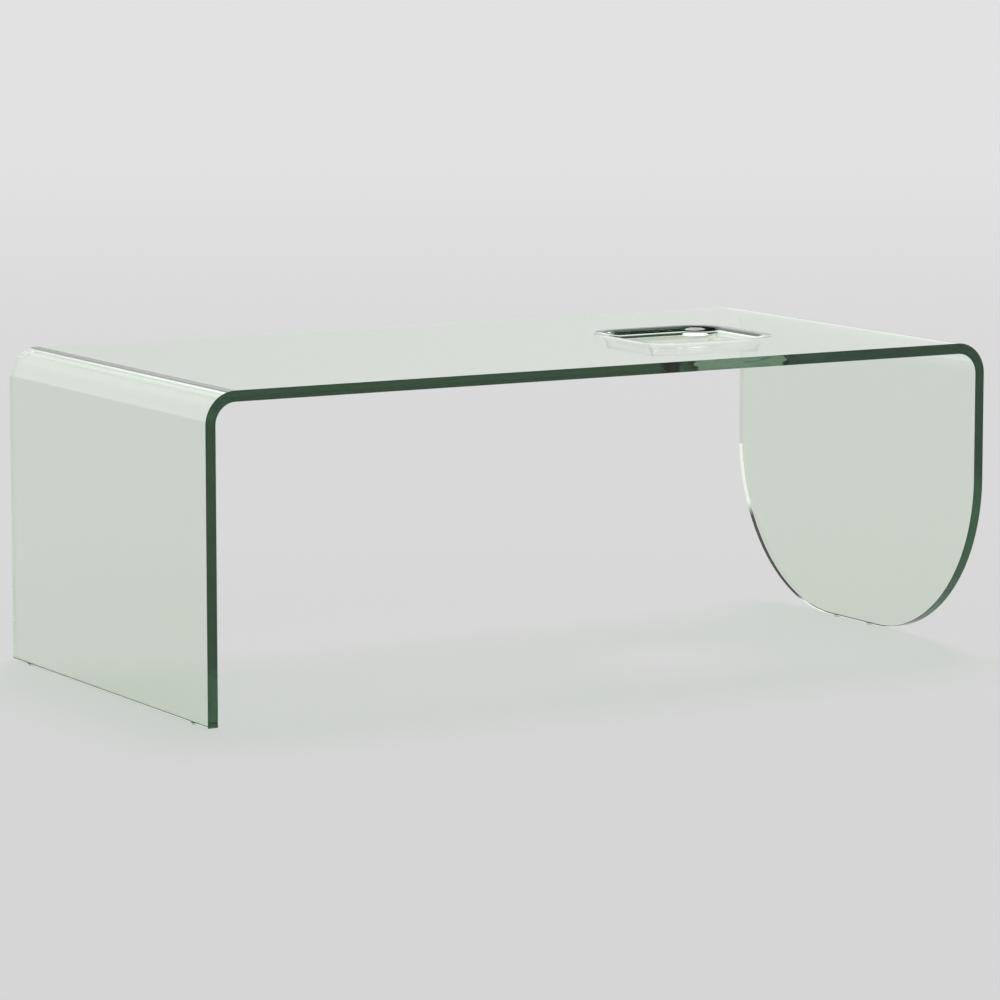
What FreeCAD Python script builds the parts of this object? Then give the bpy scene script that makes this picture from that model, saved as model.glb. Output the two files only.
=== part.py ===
import FreeCAD, Part
import math
import os
import Sketcher

# Coffee table made of one glass sheet, bent down at both ends and standing on clear bumper pads.
# Millimetres, +X along the length, -Y to the front, +Z up, origin on the floor under the middle of the table.

SIZES = {
    "table_length": 1000,
    "table_depth": 500,
    "table_height": 360,
    "glass_thickness": 12,
    "bend_inner_radius": 24,
    "tongue_corner_radius": 200,
    "opening_offset": 247,
    "opening_length": 124,
    "opening_width": 118,
    "opening_corner_radius": 18,
    "rim_inner_radius": 15,
    "rim_land": 1,
    "edge_arris": 0.5,
    "pad_diameter": 10,
    "pad_thickness": 1.8,
    "pad_edge_radius": 0.6,
    "adhesive_diameter": 9.6,
    "adhesive_thickness": 0.2,
    "left_pad_margin": 40,
    "right_pad_margin": 15,
}

FOOT_HEIGHT = "(Sizes.pad_thickness + Sizes.adhesive_thickness)"
BEND_OUTER_RADIUS = "Sizes.bend_inner_radius + Sizes.glass_thickness"
RIM_OUTER_RADIUS = "(Sizes.rim_inner_radius + Sizes.glass_thickness)"
RIM_DROP = "(" + RIM_OUTER_RADIUS + " + Sizes.rim_land)"
LEFT_PAD_REACH = "(Sizes.table_depth / 2 - Sizes.left_pad_margin)"
RIGHT_PAD_REACH = "(Sizes.table_depth / 2 - Sizes.tongue_corner_radius - Sizes.right_pad_margin)"
LEG_MIDDLE = "(Sizes.table_length / 2 - Sizes.glass_thickness / 2)"

START, END, CENTRE = 1, 2, 3
ORIGIN = (-1, START)
TOLERANCE = 0.001
SHARP_ANGLE = math.radians(30)

doc = FreeCAD.newDocument("waterfall_table")
sheet = doc.addObject("Spreadsheet::Sheet", "Sizes")
for row, (alias, number) in enumerate(SIZES.items(), start=1):
    sheet.set("A%d" % row, alias)
    sheet.set("B%d" % row, str(number))
    sheet.setAlias("B%d" % row, alias)
doc.recompute()


def new_body(name):
    body = doc.addObject("PartDesign::Body", name)
    body.Label = name
    return body


def new_sketch(body, name, role, height=None):
    sketch = body.newObject("Sketcher::SketchObject", name)
    plane = next(item for item in body.Origin.OriginFeatures if item.Role == role)
    sketch.AttachmentSupport = [(plane, "")]
    sketch.MapMode = "FlatFace"
    if height is not None:
        sketch.setExpression("AttachmentOffset.Base.z", height)
    return sketch


def bind(sketch, name, constraint, expression):
    index = sketch.addConstraint(constraint)
    sketch.renameConstraint(index, name)
    sketch.setExpression("Constraints." + name, expression)


def across(sketch, name, first, second, expression):
    drawn = sketch.getPoint(*second).x - sketch.getPoint(*first).x
    bind(sketch, name, Sketcher.Constraint("DistanceX", *first, *second, drawn), expression)


def upright(sketch, name, first, second, expression):
    drawn = sketch.getPoint(*second).y - sketch.getPoint(*first).y
    bind(sketch, name, Sketcher.Constraint("DistanceY", *first, *second, drawn), expression)


def near(first, second):
    return abs(first - second) < TOLERANCE


def edges_where(feature, test):
    edges = feature.Shape.Edges
    return ["Edge%d" % number for number, edge in enumerate(edges, start=1) if test(edge)]


def dress_edges(body, kind, name, test, size_property, expression):
    base = body.Tip
    feature = body.newObject("PartDesign::" + kind, name)
    feature.Base = (base, edges_where(base, test))
    feature.setExpression(size_property, expression)
    doc.recompute()
    return feature


def side_profile(sketch):
    """Outline of the sheet seen from the front: an upside-down U with square corners."""
    half = SIZES["table_length"] / 2
    wall = SIZES["glass_thickness"]
    foot = SIZES["pad_thickness"] + SIZES["adhesive_thickness"]
    top = SIZES["table_height"]
    corners = [
        (-half, foot),
        (-half, top),
        (half, top),
        (half, foot),
        (half - wall, foot),
        (half - wall, top - wall),
        (-half + wall, top - wall),
        (-half + wall, foot),
    ]
    points = [FreeCAD.Vector(x, z, 0) for x, z in corners]
    count = len(points)
    for index in range(count):
        sketch.addGeometry(Part.LineSegment(points[index], points[(index + 1) % count]))
    for index in range(count):
        sketch.addConstraint(Sketcher.Constraint("Coincident", index, END, (index + 1) % count, START))
        direction = "Horizontal" if index % 2 else "Vertical"
        sketch.addConstraint(Sketcher.Constraint(direction, index))
    left_outer, top_outer, right_outer, right_foot = range(count // 2)
    right_inner, underside, left_inner, left_foot = range(count // 2, count)
    across(sketch, "left_half", (left_outer, START), ORIGIN, "Sizes.table_length / 2")
    across(sketch, "right_half", ORIGIN, (right_outer, START), "Sizes.table_length / 2")
    across(sketch, "left_wall", (left_outer, START), (left_inner, START), "Sizes.glass_thickness")
    across(sketch, "right_wall", (right_inner, START), (right_outer, START), "Sizes.glass_thickness")
    upright(sketch, "top_wall", (underside, START), (top_outer, START), "Sizes.glass_thickness")
    upright(sketch, "height", ORIGIN, (top_outer, START), "Sizes.table_height")
    upright(sketch, "left_lift", ORIGIN, (left_foot, START), FOOT_HEIGHT)
    upright(sketch, "right_lift", ORIGIN, (right_foot, START), FOOT_HEIGHT)


def rounded_rectangle(sketch, margin, corner_radius):
    """Outline of the opening, set outwards by the margin, with corner arcs tangent to its sides."""
    length = SIZES["opening_length"]
    width = SIZES["opening_width"]
    radius = SIZES["opening_corner_radius"]
    middle = SIZES["opening_offset"]
    reach_x = length / 2 - radius
    reach_y = width / 2 - radius
    centres = [
        FreeCAD.Vector(middle + reach_x, -reach_y, 0),
        FreeCAD.Vector(middle + reach_x, reach_y, 0),
        FreeCAD.Vector(middle - reach_x, reach_y, 0),
        FreeCAD.Vector(middle - reach_x, -reach_y, 0),
    ]
    sides = len(centres)
    turn = math.radians(90)
    outward = [FreeCAD.Vector(0, -radius, 0), FreeCAD.Vector(radius, 0, 0)]
    outward += [-step for step in outward]
    for side in range(sides):
        start = centres[side - 1] + outward[side]
        end = centres[side] + outward[side]
        sketch.addGeometry(Part.LineSegment(start, end))
    for side in range(sides):
        circle = Part.Circle(centres[side], FreeCAD.Vector(0, 0, 1), radius)
        sketch.addGeometry(Part.ArcOfCircle(circle, turn * (side - 1), turn * side))
    for side in range(sides):
        arc = sides + side
        sketch.addConstraint(Sketcher.Constraint("Tangent", side, END, arc, START))
        sketch.addConstraint(Sketcher.Constraint("Tangent", arc, END, (side + 1) % sides, START))
        direction = "Vertical" if side % 2 else "Horizontal"
        sketch.addConstraint(Sketcher.Constraint(direction, side))
    front, right, back, left = range(sides)
    for arc in range(sides + 1, 2 * sides):
        sketch.addConstraint(Sketcher.Constraint("Equal", sides, arc))
    bind(sketch, "corner", Sketcher.Constraint("Radius", sides, radius), corner_radius)
    half_length = "Sizes.opening_length / 2 + " + margin
    half_width = "Sizes.opening_width / 2 + " + margin
    across(sketch, "length", (left, START), (right, START), "2 * (" + half_length + ")")
    upright(sketch, "width", (front, START), (back, START), "2 * (" + half_width + ")")
    across(sketch, "place", ORIGIN, (right, START), "Sizes.opening_offset + " + half_length)
    upright(sketch, "balance", ORIGIN, (back, START), half_width)


def along(edge, axis):
    if not isinstance(edge.Curve, Part.Line):
        return False
    return near(abs(edge.tangentAt(edge.FirstParameter).dot(axis)), 1)


def is_bend_edge(edge, inset):
    x = SIZES["table_length"] / 2 - inset
    z = SIZES["table_height"] - inset
    point = edge.CenterOfMass
    return along(edge, FreeCAD.Vector(0, 1, 0)) and near(abs(point.x), x) and near(point.z, z)


def is_outer_bend(edge):
    return is_bend_edge(edge, 0)


def is_inner_bend(edge):
    return is_bend_edge(edge, SIZES["glass_thickness"])


def is_tongue_corner(edge):
    foot = SIZES["pad_thickness"] + SIZES["adhesive_thickness"]
    point = edge.CenterOfMass
    at_foot = near(point.z, foot) and near(abs(point.y), SIZES["table_depth"] / 2)
    return along(edge, FreeCAD.Vector(1, 0, 0)) and at_foot and point.x > 0


def is_on_outline(edge, height, margin):
    """True for an edge of the opening's outline, set outwards by the margin, at the given height."""
    box = edge.BoundBox
    if not (near(box.ZMin, height) and near(box.ZMax, height)):
        return False
    middle = SIZES["opening_offset"]
    reach_x = SIZES["opening_length"] / 2 + margin + TOLERANCE
    reach_y = SIZES["opening_width"] / 2 + margin + TOLERANCE
    within_x = middle - reach_x < box.XMin and box.XMax < middle + reach_x
    return within_x and -reach_y < box.YMin and box.YMax < reach_y


def is_rim_top(edge):
    return is_on_outline(edge, SIZES["table_height"], 0)


def is_rim_underside(edge):
    wall = SIZES["glass_thickness"]
    return is_on_outline(edge, SIZES["table_height"] - wall, wall)


def sharp_edge_test(feature):
    """A test for edges where two faces meet at an angle, which on glass are ground to an arris."""
    def normal_at(face, point):
        return face.normalAt(*face.Surface.parameter(point))

    def is_sharp(edge):
        faces = feature.Shape.ancestorsOfType(edge, Part.Face)
        if len(faces) < 2:
            return False
        point = edge.valueAt((edge.FirstParameter + edge.LastParameter) / 2)
        return normal_at(faces[0], point).getAngle(normal_at(faces[1], point)) > SHARP_ANGLE

    return is_sharp


def glass_sheet():
    body = new_body("glass_sheet")
    profile = new_sketch(body, "SheetProfile", "XZ_Plane")
    side_profile(profile)
    bent_sheet = body.newObject("PartDesign::Pad", "BentSheet")
    bent_sheet.Profile = profile
    bent_sheet.Midplane = True
    bent_sheet.setExpression("Length", "Sizes.table_depth")
    doc.recompute()
    dress_edges(body, "Fillet", "OuterBends", is_outer_bend, "Radius", BEND_OUTER_RADIUS)
    dress_edges(body, "Fillet", "InnerBends", is_inner_bend, "Radius", "Sizes.bend_inner_radius")
    dress_edges(body, "Fillet", "TongueCorners", is_tongue_corner, "Radius", "Sizes.tongue_corner_radius")

    collar_outline = new_sketch(body, "CollarOutline", "XY_Plane", "Sizes.table_height - " + RIM_DROP)
    collar_corner = "Sizes.opening_corner_radius + Sizes.glass_thickness"
    rounded_rectangle(collar_outline, "Sizes.glass_thickness", collar_corner)
    collar = body.newObject("PartDesign::Pad", "RimCollar")
    collar.Profile = collar_outline
    collar.setExpression("Length", RIM_DROP + " - Sizes.glass_thickness / 2")
    doc.recompute()
    opening_outline = new_sketch(body, "OpeningOutline", "XY_Plane", "Sizes.table_height")
    rounded_rectangle(opening_outline, "0", "Sizes.opening_corner_radius")
    opening = body.newObject("PartDesign::Pocket", "Opening")
    opening.Profile = opening_outline
    opening.Type = "ThroughAll"
    doc.recompute()
    dress_edges(body, "Fillet", "RimRoll", is_rim_top, "Radius", RIM_OUTER_RADIUS)
    dress_edges(body, "Fillet", "RimUnderside", is_rim_underside, "Radius", "Sizes.rim_inner_radius")
    dress_edges(body, "Chamfer", "Arris", sharp_edge_test(body.Tip), "Size", "Sizes.edge_arris")
    return body


def disc(name, place_x, place_y, lift, diameter, thickness):
    """A flat round piece whose diameter and thickness are named sizes."""
    body = new_body(name)
    outline = new_sketch(body, name + "_outline", "XY_Plane")
    circle = Part.Circle(FreeCAD.Vector(0, 0, 0), FreeCAD.Vector(0, 0, 1), SIZES[diameter] / 2)
    outline.addGeometry(circle)
    outline.addConstraint(Sketcher.Constraint("Coincident", 0, CENTRE, *ORIGIN))
    bind(outline, "across", Sketcher.Constraint("Diameter", 0, SIZES[diameter]), "Sizes." + diameter)
    solid = body.newObject("PartDesign::Pad", name + "_solid")
    solid.Profile = outline
    solid.setExpression("Length", "Sizes." + thickness)
    body.setExpression("Placement.Base.x", place_x)
    body.setExpression("Placement.Base.y", place_y)
    body.setExpression("Placement.Base.z", lift)
    doc.recompute()
    return body


def is_floor_edge(edge):
    return near(edge.CenterOfMass.z, 0) and isinstance(edge.Curve, Part.Circle)


def bumper(place_name, place_x, place_y):
    """A pad on the floor, rounded at its foot, and the adhesive disc between it and the glass."""
    pad = disc("pad_" + place_name, place_x, place_y, "0", "pad_diameter", "pad_thickness")
    dress_edges(pad, "Fillet", "round_" + place_name, is_floor_edge, "Radius", "Sizes.pad_edge_radius")
    film_name = "adhesive_" + place_name
    film = disc(film_name, place_x, place_y, "Sizes.pad_thickness", "adhesive_diameter", "adhesive_thickness")
    return [pad, film]


parts = [glass_sheet()]
for leg, leg_sign, reach in (("left", "-", LEFT_PAD_REACH), ("right", "", RIGHT_PAD_REACH)):
    for row, row_sign in (("front", "-"), ("rear", "")):
        parts += bumper(leg + "_" + row, leg_sign + LEG_MIDDLE, row_sign + reach)
doc.recompute()

for item in doc.Objects:
    if "Invalid" in item.State or "Error" in item.State:
        raise RuntimeError("feature failed: " + item.Label)
os.makedirs("parts", exist_ok=True)
for part in parts:
    if part.Shape.isNull() or not part.Shape.isValid():
        raise RuntimeError("bad shape: " + part.Label)
    part.Shape.exportStep("parts/%s.step" % part.Label)
    box = part.Shape.BoundBox
    print("%-22s volume %12.1f  x %.1f %.1f  y %.1f %.1f  z %.2f %.2f" % (
        part.Label, part.Shape.Volume, box.XMin, box.XMax, box.YMin, box.YMax, box.ZMin, box.ZMax))
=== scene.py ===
import math

import bpy
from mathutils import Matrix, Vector


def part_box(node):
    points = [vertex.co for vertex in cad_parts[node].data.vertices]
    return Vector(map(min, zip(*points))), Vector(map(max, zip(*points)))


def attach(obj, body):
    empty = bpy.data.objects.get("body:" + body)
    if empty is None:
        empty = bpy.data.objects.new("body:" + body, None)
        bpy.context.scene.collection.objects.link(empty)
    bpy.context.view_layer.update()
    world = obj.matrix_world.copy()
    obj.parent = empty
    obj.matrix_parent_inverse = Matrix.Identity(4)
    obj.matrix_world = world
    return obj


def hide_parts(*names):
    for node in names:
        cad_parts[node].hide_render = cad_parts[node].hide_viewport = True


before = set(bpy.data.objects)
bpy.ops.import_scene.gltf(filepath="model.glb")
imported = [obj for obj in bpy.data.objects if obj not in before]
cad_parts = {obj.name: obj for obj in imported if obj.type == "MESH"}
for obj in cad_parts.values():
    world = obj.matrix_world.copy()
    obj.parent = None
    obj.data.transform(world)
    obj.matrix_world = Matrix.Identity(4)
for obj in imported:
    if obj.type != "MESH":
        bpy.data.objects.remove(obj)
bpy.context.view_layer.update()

# Bent-glass coffee table. Metres, +X along the length, -Y to the front, +Z up, origin on the floor.

sheet_low, sheet_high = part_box("glass_sheet")

# Sheet sizes
HALF_LENGTH = sheet_high.x
HALF_DEPTH = sheet_high.y
TOP = sheet_high.z
FOOT = sheet_low.z
THICKNESS = 0.012
BEND_INNER = 0.024
BEND_OUTER = BEND_INNER + THICKNESS
TONGUE_RADIUS = 0.200
ARRIS = 0.0005
DIAGONAL = math.sqrt(0.5)

# Opening in the top, with a rolled rim
OPENING_OFFSET = 0.247
OPENING_LENGTH = 0.124
OPENING_WIDTH = 0.118
OPENING_CORNER = 0.018
RIM_INNER = 0.015
RIM_OUTER = RIM_INNER + THICKNESS
RIM_LAND = 0.001
RIM_DROP = RIM_OUTER + RIM_LAND

# Fineness of the round stretches
BEND_STEPS = 96
TONGUE_STEPS = 96
CORNER_STEPS = 32
ROLL_STEPS = 48
ROUND_STEPS = 64

# Bumper pads
PAD_FOOT_ROUND = 0.0006
PAD_FOOT_STEPS = 8
PAD_CREASE = math.radians(40)

# The sheet laid out flat, measured along its outer face from the left floor edge
LEG_RUN = TOP - BEND_OUTER - FOOT
BEND_RUN = math.pi / 2 * BEND_OUTER
FLAT_RUN = 2 * (HALF_LENGTH - BEND_OUTER)
FLAT_START = LEG_RUN + BEND_RUN
FLAT_END = FLAT_START + FLAT_RUN
TOTAL_RUN = 2 * LEG_RUN + 2 * BEND_RUN + FLAT_RUN

# Camera, from fitting the sheet's edges to the photo
CAMERA_EYE = Vector((-2.7050, -4.6887, 0.9377 + FOOT))
CAMERA_PITCH = math.radians(7.979)
CAMERA_YAW = math.radians(29.986)
CAMERA_FIELD = math.radians(12)
SENSOR = 36.0

# Materials: colours are linear, a haze or grain is the lowest and the highest roughness
NOISE_LOW, NOISE_HIGH = 0.3, 0.7
GLASS_TINT = (0.947, 1.0, 0.91, 1)
GLASS_INDEX = 1.5
GLASS_HAZE = (0.0, 0.006)
GLASS_ABSORPTION = (0.0, 0.286, 0.1, 1)
GLASS_DENSITY = 7.0
PAD_TINT = (0.93, 0.94, 0.92, 1)
PAD_CLARITY = 0.9
PAD_INDEX = 1.49
PAD_GRAIN = (0.12, 0.3)
FILM_TINT = (0.95, 0.95, 0.93, 1)
FILM_CLARITY = 0.95
FILM_INDEX = 1.47
FILM_HAZE = (0.05, 0.4)

# Floor: its tone rises away from the camera, twice, as (start, end, tone at start, tone at end)
FLOOR_REACH = 45.0
NEAR_RISE = (-0.9, 1.1, 0.672, 0.694)
FAR_RISE = (2.1, 8.6, 0.0, 0.063)

# What the world adds up to on the floor, and the share of the paper's tone that it lights
STUDIO_LEVEL = 0.73
LIT_SHARE = (0.24, 0.13, 0.23)

# World: levels, and where one passes into the next, as parts of a direction or as heights in degrees
SKYLINE = 0.72
SKYLINE_RIGHT_GAIN = 0.16
SKYLINE_RIGHT = (0.25, 0.75)
SKYLINE_LEFT_GAIN = 0.5
SKYLINE_LEFT = (0.22, -0.08)
SKYLINE_HEIGHTS = (5, 14)
WALL_RIGHT_LEVEL = 0.98
WALL_LEFT_LEVEL = 1.15
WALL_LEFT = (0.05, -0.25)
FRONT_LEVEL = 1.0
BEHIND = (0.0, 0.3)
DIM_LEVEL = 0.05
DIM_HEIGHTS = (42, 33)

# Light cards: strength, and azimuth, elevation, outer and inner angle in degrees
LOW_CARD = 0.5
LOW_CARD_AIM = (28, 18, 9.5, 4)
HIGH_CARD = 7.0
HIGH_CARD_AIM = (36, 66, 15, 11)

# Light bounces, enough for light that runs along inside the sheet
ALL_BOUNCES = 32
GLASS_BOUNCES = 24


def bent(run, across, depth):
    """A point of the flat sheet after bending: its place, the outer face's normal and the run direction."""
    if run <= LEG_RUN:
        place = Vector((-HALF_LENGTH + depth, across, FOOT + run))
        return place, Vector((-1, 0, 0)), Vector((0, 0, 1))
    if run >= FLAT_END + BEND_RUN:
        below = run - FLAT_END - BEND_RUN
        place = Vector((HALF_LENGTH - depth, across, TOP - BEND_OUTER - below))
        return place, Vector((1, 0, 0)), Vector((0, 0, -1))
    if FLAT_START <= run <= FLAT_END:
        place = Vector((-HALF_LENGTH + BEND_OUTER + run - FLAT_START, across, TOP - depth))
        return place, Vector((0, 0, 1)), Vector((1, 0, 0))
    if run < FLAT_START:
        turn = (run - LEG_RUN) / BEND_OUTER
        normal = Vector((-math.cos(turn), 0, math.sin(turn)))
        forward = Vector((math.sin(turn), 0, math.cos(turn)))
        axis = Vector((-HALF_LENGTH + BEND_OUTER, across, TOP - BEND_OUTER))
    else:
        turn = (run - FLAT_END) / BEND_OUTER
        normal = Vector((math.sin(turn), 0, math.cos(turn)))
        forward = Vector((math.cos(turn), 0, -math.sin(turn)))
        axis = Vector((HALF_LENGTH - BEND_OUTER, across, TOP - BEND_OUTER))
    return axis + normal * (BEND_OUTER - depth), normal, forward


def bend_stations():
    """Places along the front edge, from the left floor edge to where the tongue's corner starts."""
    runs = [0.0]
    runs += [LEG_RUN + BEND_RUN * step / BEND_STEPS for step in range(BEND_STEPS + 1)]
    runs += [FLAT_END + BEND_RUN * step / BEND_STEPS for step in range(BEND_STEPS + 1)]
    runs.append(TOTAL_RUN - TONGUE_RADIUS)
    return runs


def sheet_outline():
    """The flat sheet's outline as (run, across, outward run, outward across), front edge first."""
    front = [(run, -HALF_DEPTH, 0.0, -1.0) for run in bend_stations()]
    for step in range(1, TONGUE_STEPS + 1):
        turn = math.pi / 2 * step / TONGUE_STEPS
        run = TOTAL_RUN - TONGUE_RADIUS + TONGUE_RADIUS * math.sin(turn)
        across = -HALF_DEPTH + TONGUE_RADIUS - TONGUE_RADIUS * math.cos(turn)
        front.append((run, across, math.sin(turn), -math.cos(turn)))
    rear = [(run, -across, out_run, -out_across) for run, across, out_run, out_across in front]
    return front + rear[::-1]


def opening_outline():
    """The clear opening's outline, in the same terms, with outward from the opening's middle."""
    middle = FLAT_START + OPENING_OFFSET + HALF_LENGTH - BEND_OUTER
    reach_run = OPENING_LENGTH / 2 - OPENING_CORNER
    reach_across = OPENING_WIDTH / 2 - OPENING_CORNER
    outline = []
    for quarter, (side_run, side_across) in enumerate(((1, 1), (-1, 1), (-1, -1), (1, -1))):
        for step in range(CORNER_STEPS + 1):
            turn = math.pi / 2 * (quarter + step / CORNER_STEPS)
            out_run, out_across = math.cos(turn), math.sin(turn)
            run = middle + side_run * reach_run + OPENING_CORNER * out_run
            across = side_across * reach_across + OPENING_CORNER * out_across
            outline.append((run, across, out_run, out_across))
    return outline


def straight(start, end, normal):
    """One flat stretch of a section."""
    return [(start, normal, end, normal)]


def edge_profile():
    """Cut edge in section: (inset, depth) points with (outward, up) normals, arris, flat, arris."""
    profile = straight((ARRIS, 0), (0, ARRIS), (DIAGONAL, DIAGONAL))
    profile += straight((0, ARRIS), (0, THICKNESS - ARRIS), (1, 0))
    profile += straight((0, THICKNESS - ARRIS), (ARRIS, THICKNESS), (DIAGONAL, -DIAGONAL))
    return profile


def rim_profile():
    """Rolled rim in section, from the top face round the lip to the underside, inset into the sheet."""
    def outer(step):
        turn = math.pi / 2 * step / ROLL_STEPS
        point = (RIM_OUTER - RIM_OUTER * math.sin(turn), RIM_OUTER - RIM_OUTER * math.cos(turn))
        return point, (-math.sin(turn), math.cos(turn))

    def inner(step):
        turn = math.pi / 2 * step / ROLL_STEPS
        centre = THICKNESS + RIM_INNER
        point = (centre - RIM_INNER * math.cos(turn), centre - RIM_INNER * math.sin(turn))
        return point, (math.cos(turn), -math.sin(turn))

    profile = [outer(step) + outer(step + 1) for step in range(ROLL_STEPS)]
    profile += straight((0, RIM_OUTER), (0, RIM_DROP - ARRIS), (-1, 0))
    profile += straight((0, RIM_DROP - ARRIS), (ARRIS, RIM_DROP), (-DIAGONAL, -DIAGONAL))
    profile += straight((ARRIS, RIM_DROP), (THICKNESS - ARRIS, RIM_DROP), (0, -1))
    profile += straight((THICKNESS - ARRIS, RIM_DROP), (THICKNESS, RIM_DROP - ARRIS), (DIAGONAL, -DIAGONAL))
    profile += straight((THICKNESS, RIM_DROP - ARRIS), (THICKNESS, THICKNESS + RIM_INNER), (1, 0))
    profile += [inner(step) + inner(step + 1) for step in range(ROLL_STEPS)]
    return profile


class Skin:
    """Vertices, faces and face-corner normals of one closed surface."""

    def __init__(self):
        self.vertices = []
        self.faces = []
        self.normals = []

    def vertex(self, place):
        self.vertices.append(place)
        return len(self.vertices) - 1

    def face(self, corners, normals):
        """Adds a face, turned so that it faces the way its normals point."""
        area = Vector((0, 0, 0))
        places = [self.vertices[corner] for corner in corners]
        for first, second in zip(places[1:], places[2:]):
            area += (first - places[0]).cross(second - places[0])
        if area.dot(sum(normals, Vector((0, 0, 0)))) < 0:
            corners, normals = corners[::-1], normals[::-1]
        self.faces.append(corners)
        self.normals += normals

    def mesh(self, name):
        mesh = bpy.data.meshes.new(name)
        mesh.from_pydata(self.vertices, [], self.faces)
        mesh.polygons.foreach_set("use_smooth", [True] * len(mesh.polygons))
        mesh.normals_split_custom_set(self.normals)
        return mesh


def ring_walls(skin, outline, profile, mitre):
    """Sweeps a section round an outline; returns the first and the last ring of vertices."""
    def corner_shift(index, out_run, out_across):
        if mitre and index in (0, len(outline) - 1):
            return -1.0, out_across
        return out_run, out_across

    def ring(point):
        inset, depth = point
        vertices = []
        for index, (run, across, out_run, out_across) in enumerate(outline):
            shift_run, shift_across = corner_shift(index, out_run, out_across)
            sign = -1 if mitre else 1
            place, _, _ = bent(run + sign * inset * shift_run, across + sign * inset * shift_across, depth)
            vertices.append(skin.vertex(place))
        return vertices

    def normal_at(index, slope, is_end_cap):
        run, across, out_run, out_across = outline[index]
        _, up, forward = bent(run, across, 0)
        if is_end_cap:
            out_run, out_across = -1.0, 0.0
        outward = forward * out_run + Vector((0, out_across, 0))
        return outward * slope[0] + up * slope[1]

    rings = [ring(profile[0][0])] + [ring(segment[2]) for segment in profile]
    count = len(outline)
    for (_, slope_a, _, slope_b), ring_a, ring_b in zip(profile, rings, rings[1:]):
        for index in range(count):
            following = (index + 1) % count
            cap = mitre and following == 0
            corners = [ring_a[index], ring_a[following], ring_b[following], ring_b[index]]
            normals = [
                normal_at(index, slope_a, cap),
                normal_at(following, slope_a, cap),
                normal_at(following, slope_b, cap),
                normal_at(index, slope_b, cap),
            ]
            skin.face(corners, normals)
    return rings[0], rings[-1]


def broad_face(skin, ring, hole, side):
    """Closes the outer (side 1) or inner (side -1) face by strips from front to rear, round the opening."""
    runs = bend_stations()
    count = len(ring)
    quarter = len(hole) // 4
    half = quarter // 2
    turned = hole[-half:] + hole[:-half]

    def add(corners, corner_runs):
        skin.face(corners, [bent(run, 0, 0)[1] * side for run in corner_runs])

    for index in range(len(runs) - 1):
        near = [ring[index], ring[index + 1]]
        far = [ring[count - 2 - index], ring[count - 1 - index]]
        corner_runs = [runs[index], runs[index + 1], runs[index + 1], runs[index]]
        if runs[index + 1] - runs[index] < FLAT_RUN / 2:
            add(near + far, corner_runs)
            continue
        frame_corners = [near[1], far[0], far[1], near[0]]
        for part in range(4):
            stretch = [turned[(part * quarter + step) % len(hole)] for step in range(quarter + 1)]
            corners = [frame_corners[part], frame_corners[(part + 1) % 4]] + stretch[::-1]
            add(corners, [FLAT_START] * len(corners))
    tongue = ring[len(runs) - 1:count - len(runs) + 1]
    add(tongue, [TOTAL_RUN] * len(tongue))


def glass_sheet(material):
    """The bent sheet with its cut edges and rolled rim, as one closed surface."""
    skin = Skin()
    edge_top, edge_under = ring_walls(skin, sheet_outline(), edge_profile(), True)
    rim_top, rim_under = ring_walls(skin, opening_outline(), rim_profile(), False)
    broad_face(skin, edge_top, rim_top, 1)
    broad_face(skin, edge_under, rim_under, -1)
    sheet = bpy.data.objects.new("bent_glass", skin.mesh("bent_glass"))
    bpy.context.scene.collection.objects.link(sheet)
    sheet.data.materials.append(material)
    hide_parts("glass_sheet")
    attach(sheet, "root")


def new_material(name):
    """A node material, with its tree, shader and output."""
    material = bpy.data.materials.new(name)
    material.use_nodes = True
    tree = material.node_tree
    return material, tree, tree.nodes["Principled BSDF"], tree.nodes["Material Output"]


def noise(tree, scale, detail, roughness):
    """Noise in the piece's own coordinates."""
    coordinates = tree.nodes.new("ShaderNodeTexCoord")
    texture = tree.nodes.new("ShaderNodeTexNoise")
    texture.inputs["Scale"].default_value = scale
    texture.inputs["Detail"].default_value = detail
    texture.inputs["Roughness"].default_value = roughness
    tree.links.new(coordinates.outputs["Object"], texture.inputs["Vector"])
    return texture.outputs["Fac"]


def spread(tree, value, bounds):
    """Maps a noise value to a range."""
    node = tree.nodes.new("ShaderNodeMapRange")
    node.inputs["From Min"].default_value = NOISE_LOW
    node.inputs["From Max"].default_value = NOISE_HIGH
    node.inputs["To Min"].default_value = bounds[0]
    node.inputs["To Max"].default_value = bounds[1]
    tree.links.new(value, node.inputs["Value"])
    return node.outputs["Result"]


def float_glass():
    """Clear green float glass: tinted by depth, with a trace of polishing haze."""
    material, tree, shader, output = new_material("float_glass")
    shader.inputs["Base Color"].default_value = GLASS_TINT
    shader.inputs["Transmission Weight"].default_value = 1.0
    shader.inputs["IOR"].default_value = GLASS_INDEX
    haze = spread(tree, noise(tree, scale=9.0, detail=3.0, roughness=0.6), GLASS_HAZE)
    tree.links.new(haze, shader.inputs["Roughness"])
    absorption = tree.nodes.new("ShaderNodeVolumeAbsorption")
    absorption.inputs["Color"].default_value = GLASS_ABSORPTION
    absorption.inputs["Density"].default_value = GLASS_DENSITY
    tree.links.new(absorption.outputs["Volume"], output.inputs["Volume"])
    return material


def soft_polyurethane():
    """Clear moulded bumper: slightly hazy, with a fine moulded grain."""
    material, tree, shader, _ = new_material("soft_polyurethane")
    shader.inputs["Base Color"].default_value = PAD_TINT
    shader.inputs["Transmission Weight"].default_value = PAD_CLARITY
    shader.inputs["IOR"].default_value = PAD_INDEX
    grain = spread(tree, noise(tree, scale=900.0, detail=2.0, roughness=0.5), PAD_GRAIN)
    tree.links.new(grain, shader.inputs["Roughness"])
    return material


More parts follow.
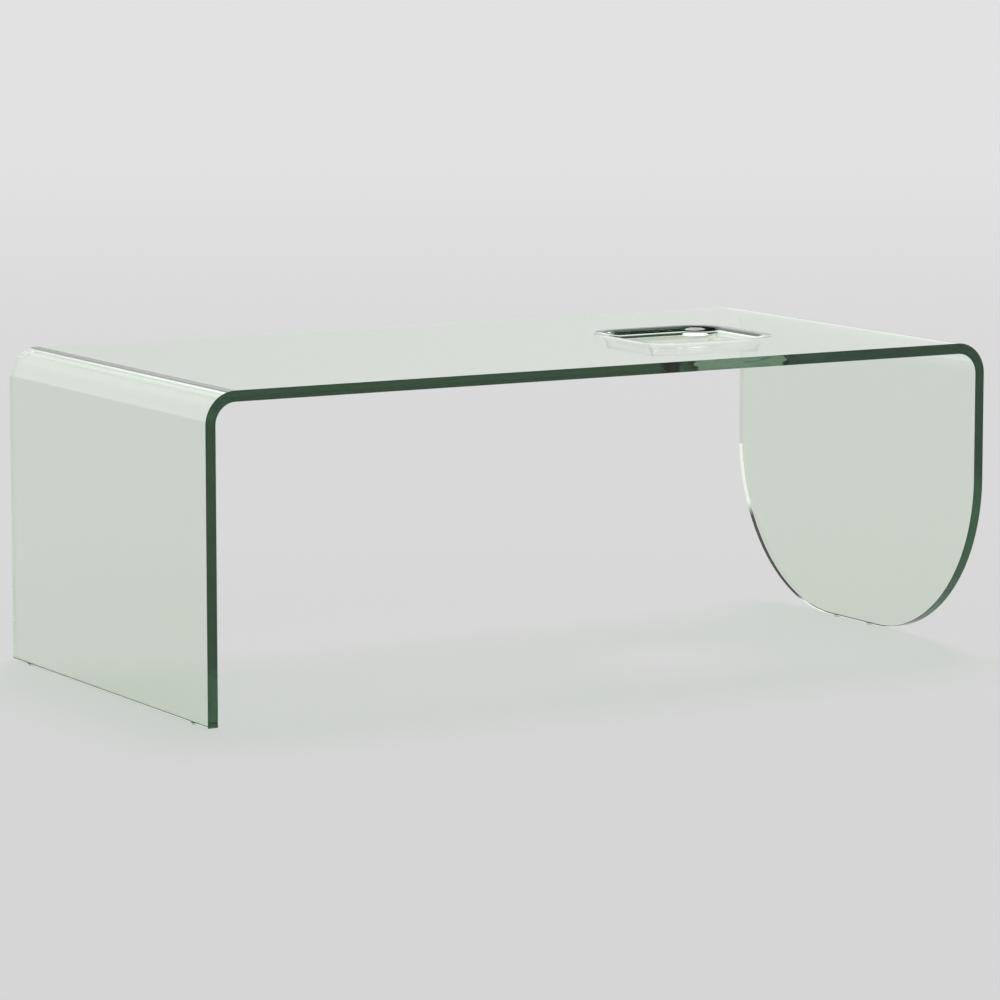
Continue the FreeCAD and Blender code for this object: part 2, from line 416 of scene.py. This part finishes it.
def adhesive_film():
    """Clear pressure-sensitive film, milky where small bubbles are trapped."""
    material, tree, shader, _ = new_material("adhesive_film")
    shader.inputs["Base Color"].default_value = FILM_TINT
    shader.inputs["Transmission Weight"].default_value = FILM_CLARITY
    shader.inputs["IOR"].default_value = FILM_INDEX
    haze = spread(tree, noise(tree, scale=1500.0, detail=2.0, roughness=0.5), FILM_HAZE)
    tree.links.new(haze, shader.inputs["Roughness"])
    return material


def floor_paper():
    """Pale paper, paler into the distance; the shadow falls on its lit share, the rest is an even glow."""
    material, tree, shader, _ = new_material("floor_paper")
    shader.inputs["Roughness"].default_value = 1.0
    shader.inputs["Specular IOR Level"].default_value = 0.0
    coordinates = tree.nodes.new("ShaderNodeTexCoord")
    along = tree.nodes.new("ShaderNodeVectorMath")
    along.operation = "DOT_PRODUCT"
    along.inputs[1].default_value = (math.sin(CAMERA_YAW), math.cos(CAMERA_YAW), 0)
    tree.links.new(coordinates.outputs["Object"], along.inputs[0])

    def rise(start, end, low, high):
        node = tree.nodes.new("ShaderNodeMapRange")
        node.interpolation_type = "SMOOTHSTEP"
        tree.links.new(along.outputs["Value"], node.inputs["Value"])
        node.inputs["From Min"].default_value = start
        node.inputs["From Max"].default_value = end
        node.inputs["To Min"].default_value = low
        node.inputs["To Max"].default_value = high
        return node.outputs["Result"]

    tone = tree.nodes.new("ShaderNodeMath")
    tree.links.new(rise(*NEAR_RISE), tone.inputs[0])
    tree.links.new(rise(*FAR_RISE), tone.inputs[1])

    def share(colour):
        node = tree.nodes.new("ShaderNodeVectorMath")
        node.operation = "SCALE"
        node.inputs[0].default_value = colour
        tree.links.new(tone.outputs[0], node.inputs["Scale"])
        return node.outputs["Vector"]

    tree.links.new(share([value / STUDIO_LEVEL for value in LIT_SHARE]), shader.inputs["Base Color"])
    tree.links.new(share([1 - value for value in LIT_SHARE]), shader.inputs["Emission Color"])
    path = tree.nodes.new("ShaderNodeLightPath")
    seen = path.outputs["Is Camera Ray"]
    for kind in ("Is Glossy Ray", "Is Transmission Ray"):
        either = tree.nodes.new("ShaderNodeMath")
        either.operation = "MAXIMUM"
        tree.links.new(seen, either.inputs[0])
        tree.links.new(path.outputs[kind], either.inputs[1])
        seen = either.outputs[0]
    tree.links.new(seen, shader.inputs["Emission Strength"])
    return material


def turned_piece(name, node, section, material):
    """A round piece in a node's place, from (radius, height) points of its section, top to bottom."""
    low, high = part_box(node)
    middle = (low + high) / 2
    skin = Skin()
    rows = []
    for radius, height in section:
        row = []
        for step in range(ROUND_STEPS):
            turn = 2 * math.pi * step / ROUND_STEPS
            offset = Vector((math.cos(turn), math.sin(turn), 0)) * radius
            row.append(skin.vertex(Vector((middle.x, middle.y, height)) + offset))
        rows.append(row)
    faces = [rows[0], rows[-1][::-1]]
    for upper, lower in zip(rows, rows[1:]):
        for step in range(ROUND_STEPS):
            following = (step + 1) % ROUND_STEPS
            faces.append([upper[step], lower[step], lower[following], upper[following]])
    mesh = bpy.data.meshes.new(name)
    mesh.from_pydata(skin.vertices, [], faces)
    mesh.polygons.foreach_set("use_smooth", [True] * len(mesh.polygons))
    mesh.set_sharp_from_angle(angle=PAD_CREASE)
    piece = bpy.data.objects.new(name, mesh)
    bpy.context.scene.collection.objects.link(piece)
    mesh.materials.append(material)
    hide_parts(node)
    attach(piece, "root")


def bumper_section(node):
    """Bumper in section: flat top, straight side, rounded foot."""
    low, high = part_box(node)
    radius = (high.x - low.x) / 2
    section = [(radius, high.z)]
    for step in range(PAD_FOOT_STEPS + 1):
        turn = math.pi / 2 * step / PAD_FOOT_STEPS
        inset = PAD_FOOT_ROUND * (1 - math.cos(turn))
        section.append((radius - inset, low.z + PAD_FOOT_ROUND * (1 - math.sin(turn))))
    return section


def film_section(node):
    """Adhesive film in section: a flat disc."""
    low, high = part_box(node)
    radius = (high.x - low.x) / 2
    return [(radius, high.z), (radius, low.z)]


def stage_floor():
    """A floor that reaches past the edges of the picture."""
    mesh = bpy.data.meshes.new("floor")
    sides = ((-1, -1), (1, -1), (1, 1), (-1, 1))
    corners = [(side_x * FLOOR_REACH, side_y * FLOOR_REACH, 0) for side_x, side_y in sides]
    mesh.from_pydata(corners, [], [(0, 1, 2, 3)])
    floor = bpy.data.objects.new("floor", mesh)
    bpy.context.scene.collection.objects.link(floor)
    mesh.materials.append(floor_paper())


def studio_world():
    """Pale room, dim above, with a bright card high behind on the right and a weak card low down there."""
    world = bpy.data.worlds.new("studio")
    bpy.context.scene.world = world
    world.use_nodes = True
    tree = world.node_tree
    background = tree.nodes["Background"]
    background.inputs["Color"].default_value = (1, 1, 1, 1)

    def maths(operation, first, second):
        node = tree.nodes.new("ShaderNodeMath")
        node.operation = operation
        for socket, value in zip(node.inputs, (first, second)):
            if isinstance(value, (int, float)):
                socket.default_value = value
            else:
                tree.links.new(value, socket)
        return node.outputs[0]

    direction = tree.nodes.new("ShaderNodeTexCoord")
    split = tree.nodes.new("ShaderNodeSeparateXYZ")
    tree.links.new(direction.outputs["Generated"], split.inputs[0])
    x, y, z = split.outputs

    def ease(value, start, end):
        node = tree.nodes.new("ShaderNodeMapRange")
        node.interpolation_type = "SMOOTHSTEP"
        tree.links.new(value, node.inputs["Value"])
        node.inputs["From Min"].default_value = start
        node.inputs["From Max"].default_value = end
        return node.outputs["Result"]

    def height(degrees):
        return math.sin(math.radians(degrees))

    def climb(heights):
        """0 at the first height and 1 at the second, both in degrees."""
        return ease(z, height(heights[0]), height(heights[1]))

    def product(*values):
        result = values[0]
        for value in values[1:]:
            result = maths("MULTIPLY", result, value)
        return result

    def total(*values):
        result = values[0]
        for value in values[1:]:
            result = maths("ADD", result, value)
        return result

    def aim(azimuth, elevation, wide, narrow):
        """1 within the narrow angle, 0 outside the wide one; azimuth is from +Y towards +X."""
        level = math.cos(math.radians(elevation))
        turn = math.radians(azimuth)
        node = tree.nodes.new("ShaderNodeVectorMath")
        node.operation = "DOT_PRODUCT"
        tree.links.new(direction.outputs["Generated"], node.inputs[0])
        node.inputs[1].default_value = (level * math.sin(turn), level * math.cos(turn), height(elevation))
        return ease(node.outputs["Value"], math.cos(math.radians(wide)), math.cos(math.radians(narrow)))

    def blend(first, second, factor):
        return total(product(first, maths("SUBTRACT", 1.0, factor)), product(second, factor))

    skyline = total(
        SKYLINE,
        product(ease(x, *SKYLINE_RIGHT), SKYLINE_RIGHT_GAIN),
        product(ease(x, *SKYLINE_LEFT), SKYLINE_LEFT_GAIN),
    )
    wall = blend(WALL_RIGHT_LEVEL, WALL_LEFT_LEVEL, ease(x, *WALL_LEFT))
    backdrop = blend(skyline, wall, climb(SKYLINE_HEIGHTS))
    around = blend(FRONT_LEVEL, backdrop, ease(y, *BEHIND))
    room = blend(DIM_LEVEL, around, climb(DIM_HEIGHTS))
    low_card = product(aim(*LOW_CARD_AIM), LOW_CARD)
    high_card = product(aim(*HIGH_CARD_AIM), HIGH_CARD)
    tree.links.new(total(room, low_card, high_card), background.inputs["Strength"])


def photo_camera():
    """The photo's view."""
    camera = bpy.data.objects.new("camera", bpy.data.cameras.new("camera"))
    bpy.context.scene.collection.objects.link(camera)
    camera.data.sensor_width = SENSOR
    camera.data.lens = SENSOR / 2 / math.tan(CAMERA_FIELD / 2)
    camera.location = CAMERA_EYE
    level = math.cos(CAMERA_PITCH)
    look = Vector((math.sin(CAMERA_YAW) * level, math.cos(CAMERA_YAW) * level, -math.sin(CAMERA_PITCH)))
    camera.rotation_mode = "QUATERNION"
    camera.rotation_quaternion = look.to_track_quat("-Z", "Y")
    bpy.context.scene.camera = camera


glass_sheet(float_glass())
pad_material = soft_polyurethane()
film_material = adhesive_film()
for place in ("left_front", "left_rear", "right_front", "right_rear"):
    pad_node = "pad_" + place
    film_node = "adhesive_" + place
    turned_piece("bumper_" + place, pad_node, bumper_section(pad_node), pad_material)
    turned_piece("film_" + place, film_node, film_section(film_node), film_material)
stage_floor()
studio_world()
photo_camera()
scene = bpy.context.scene
scene.view_settings.view_transform = "Standard"
scene.cycles.max_bounces = ALL_BOUNCES
scene.cycles.glossy_bounces = GLASS_BOUNCES
scene.cycles.transmission_bounces = GLASS_BOUNCES
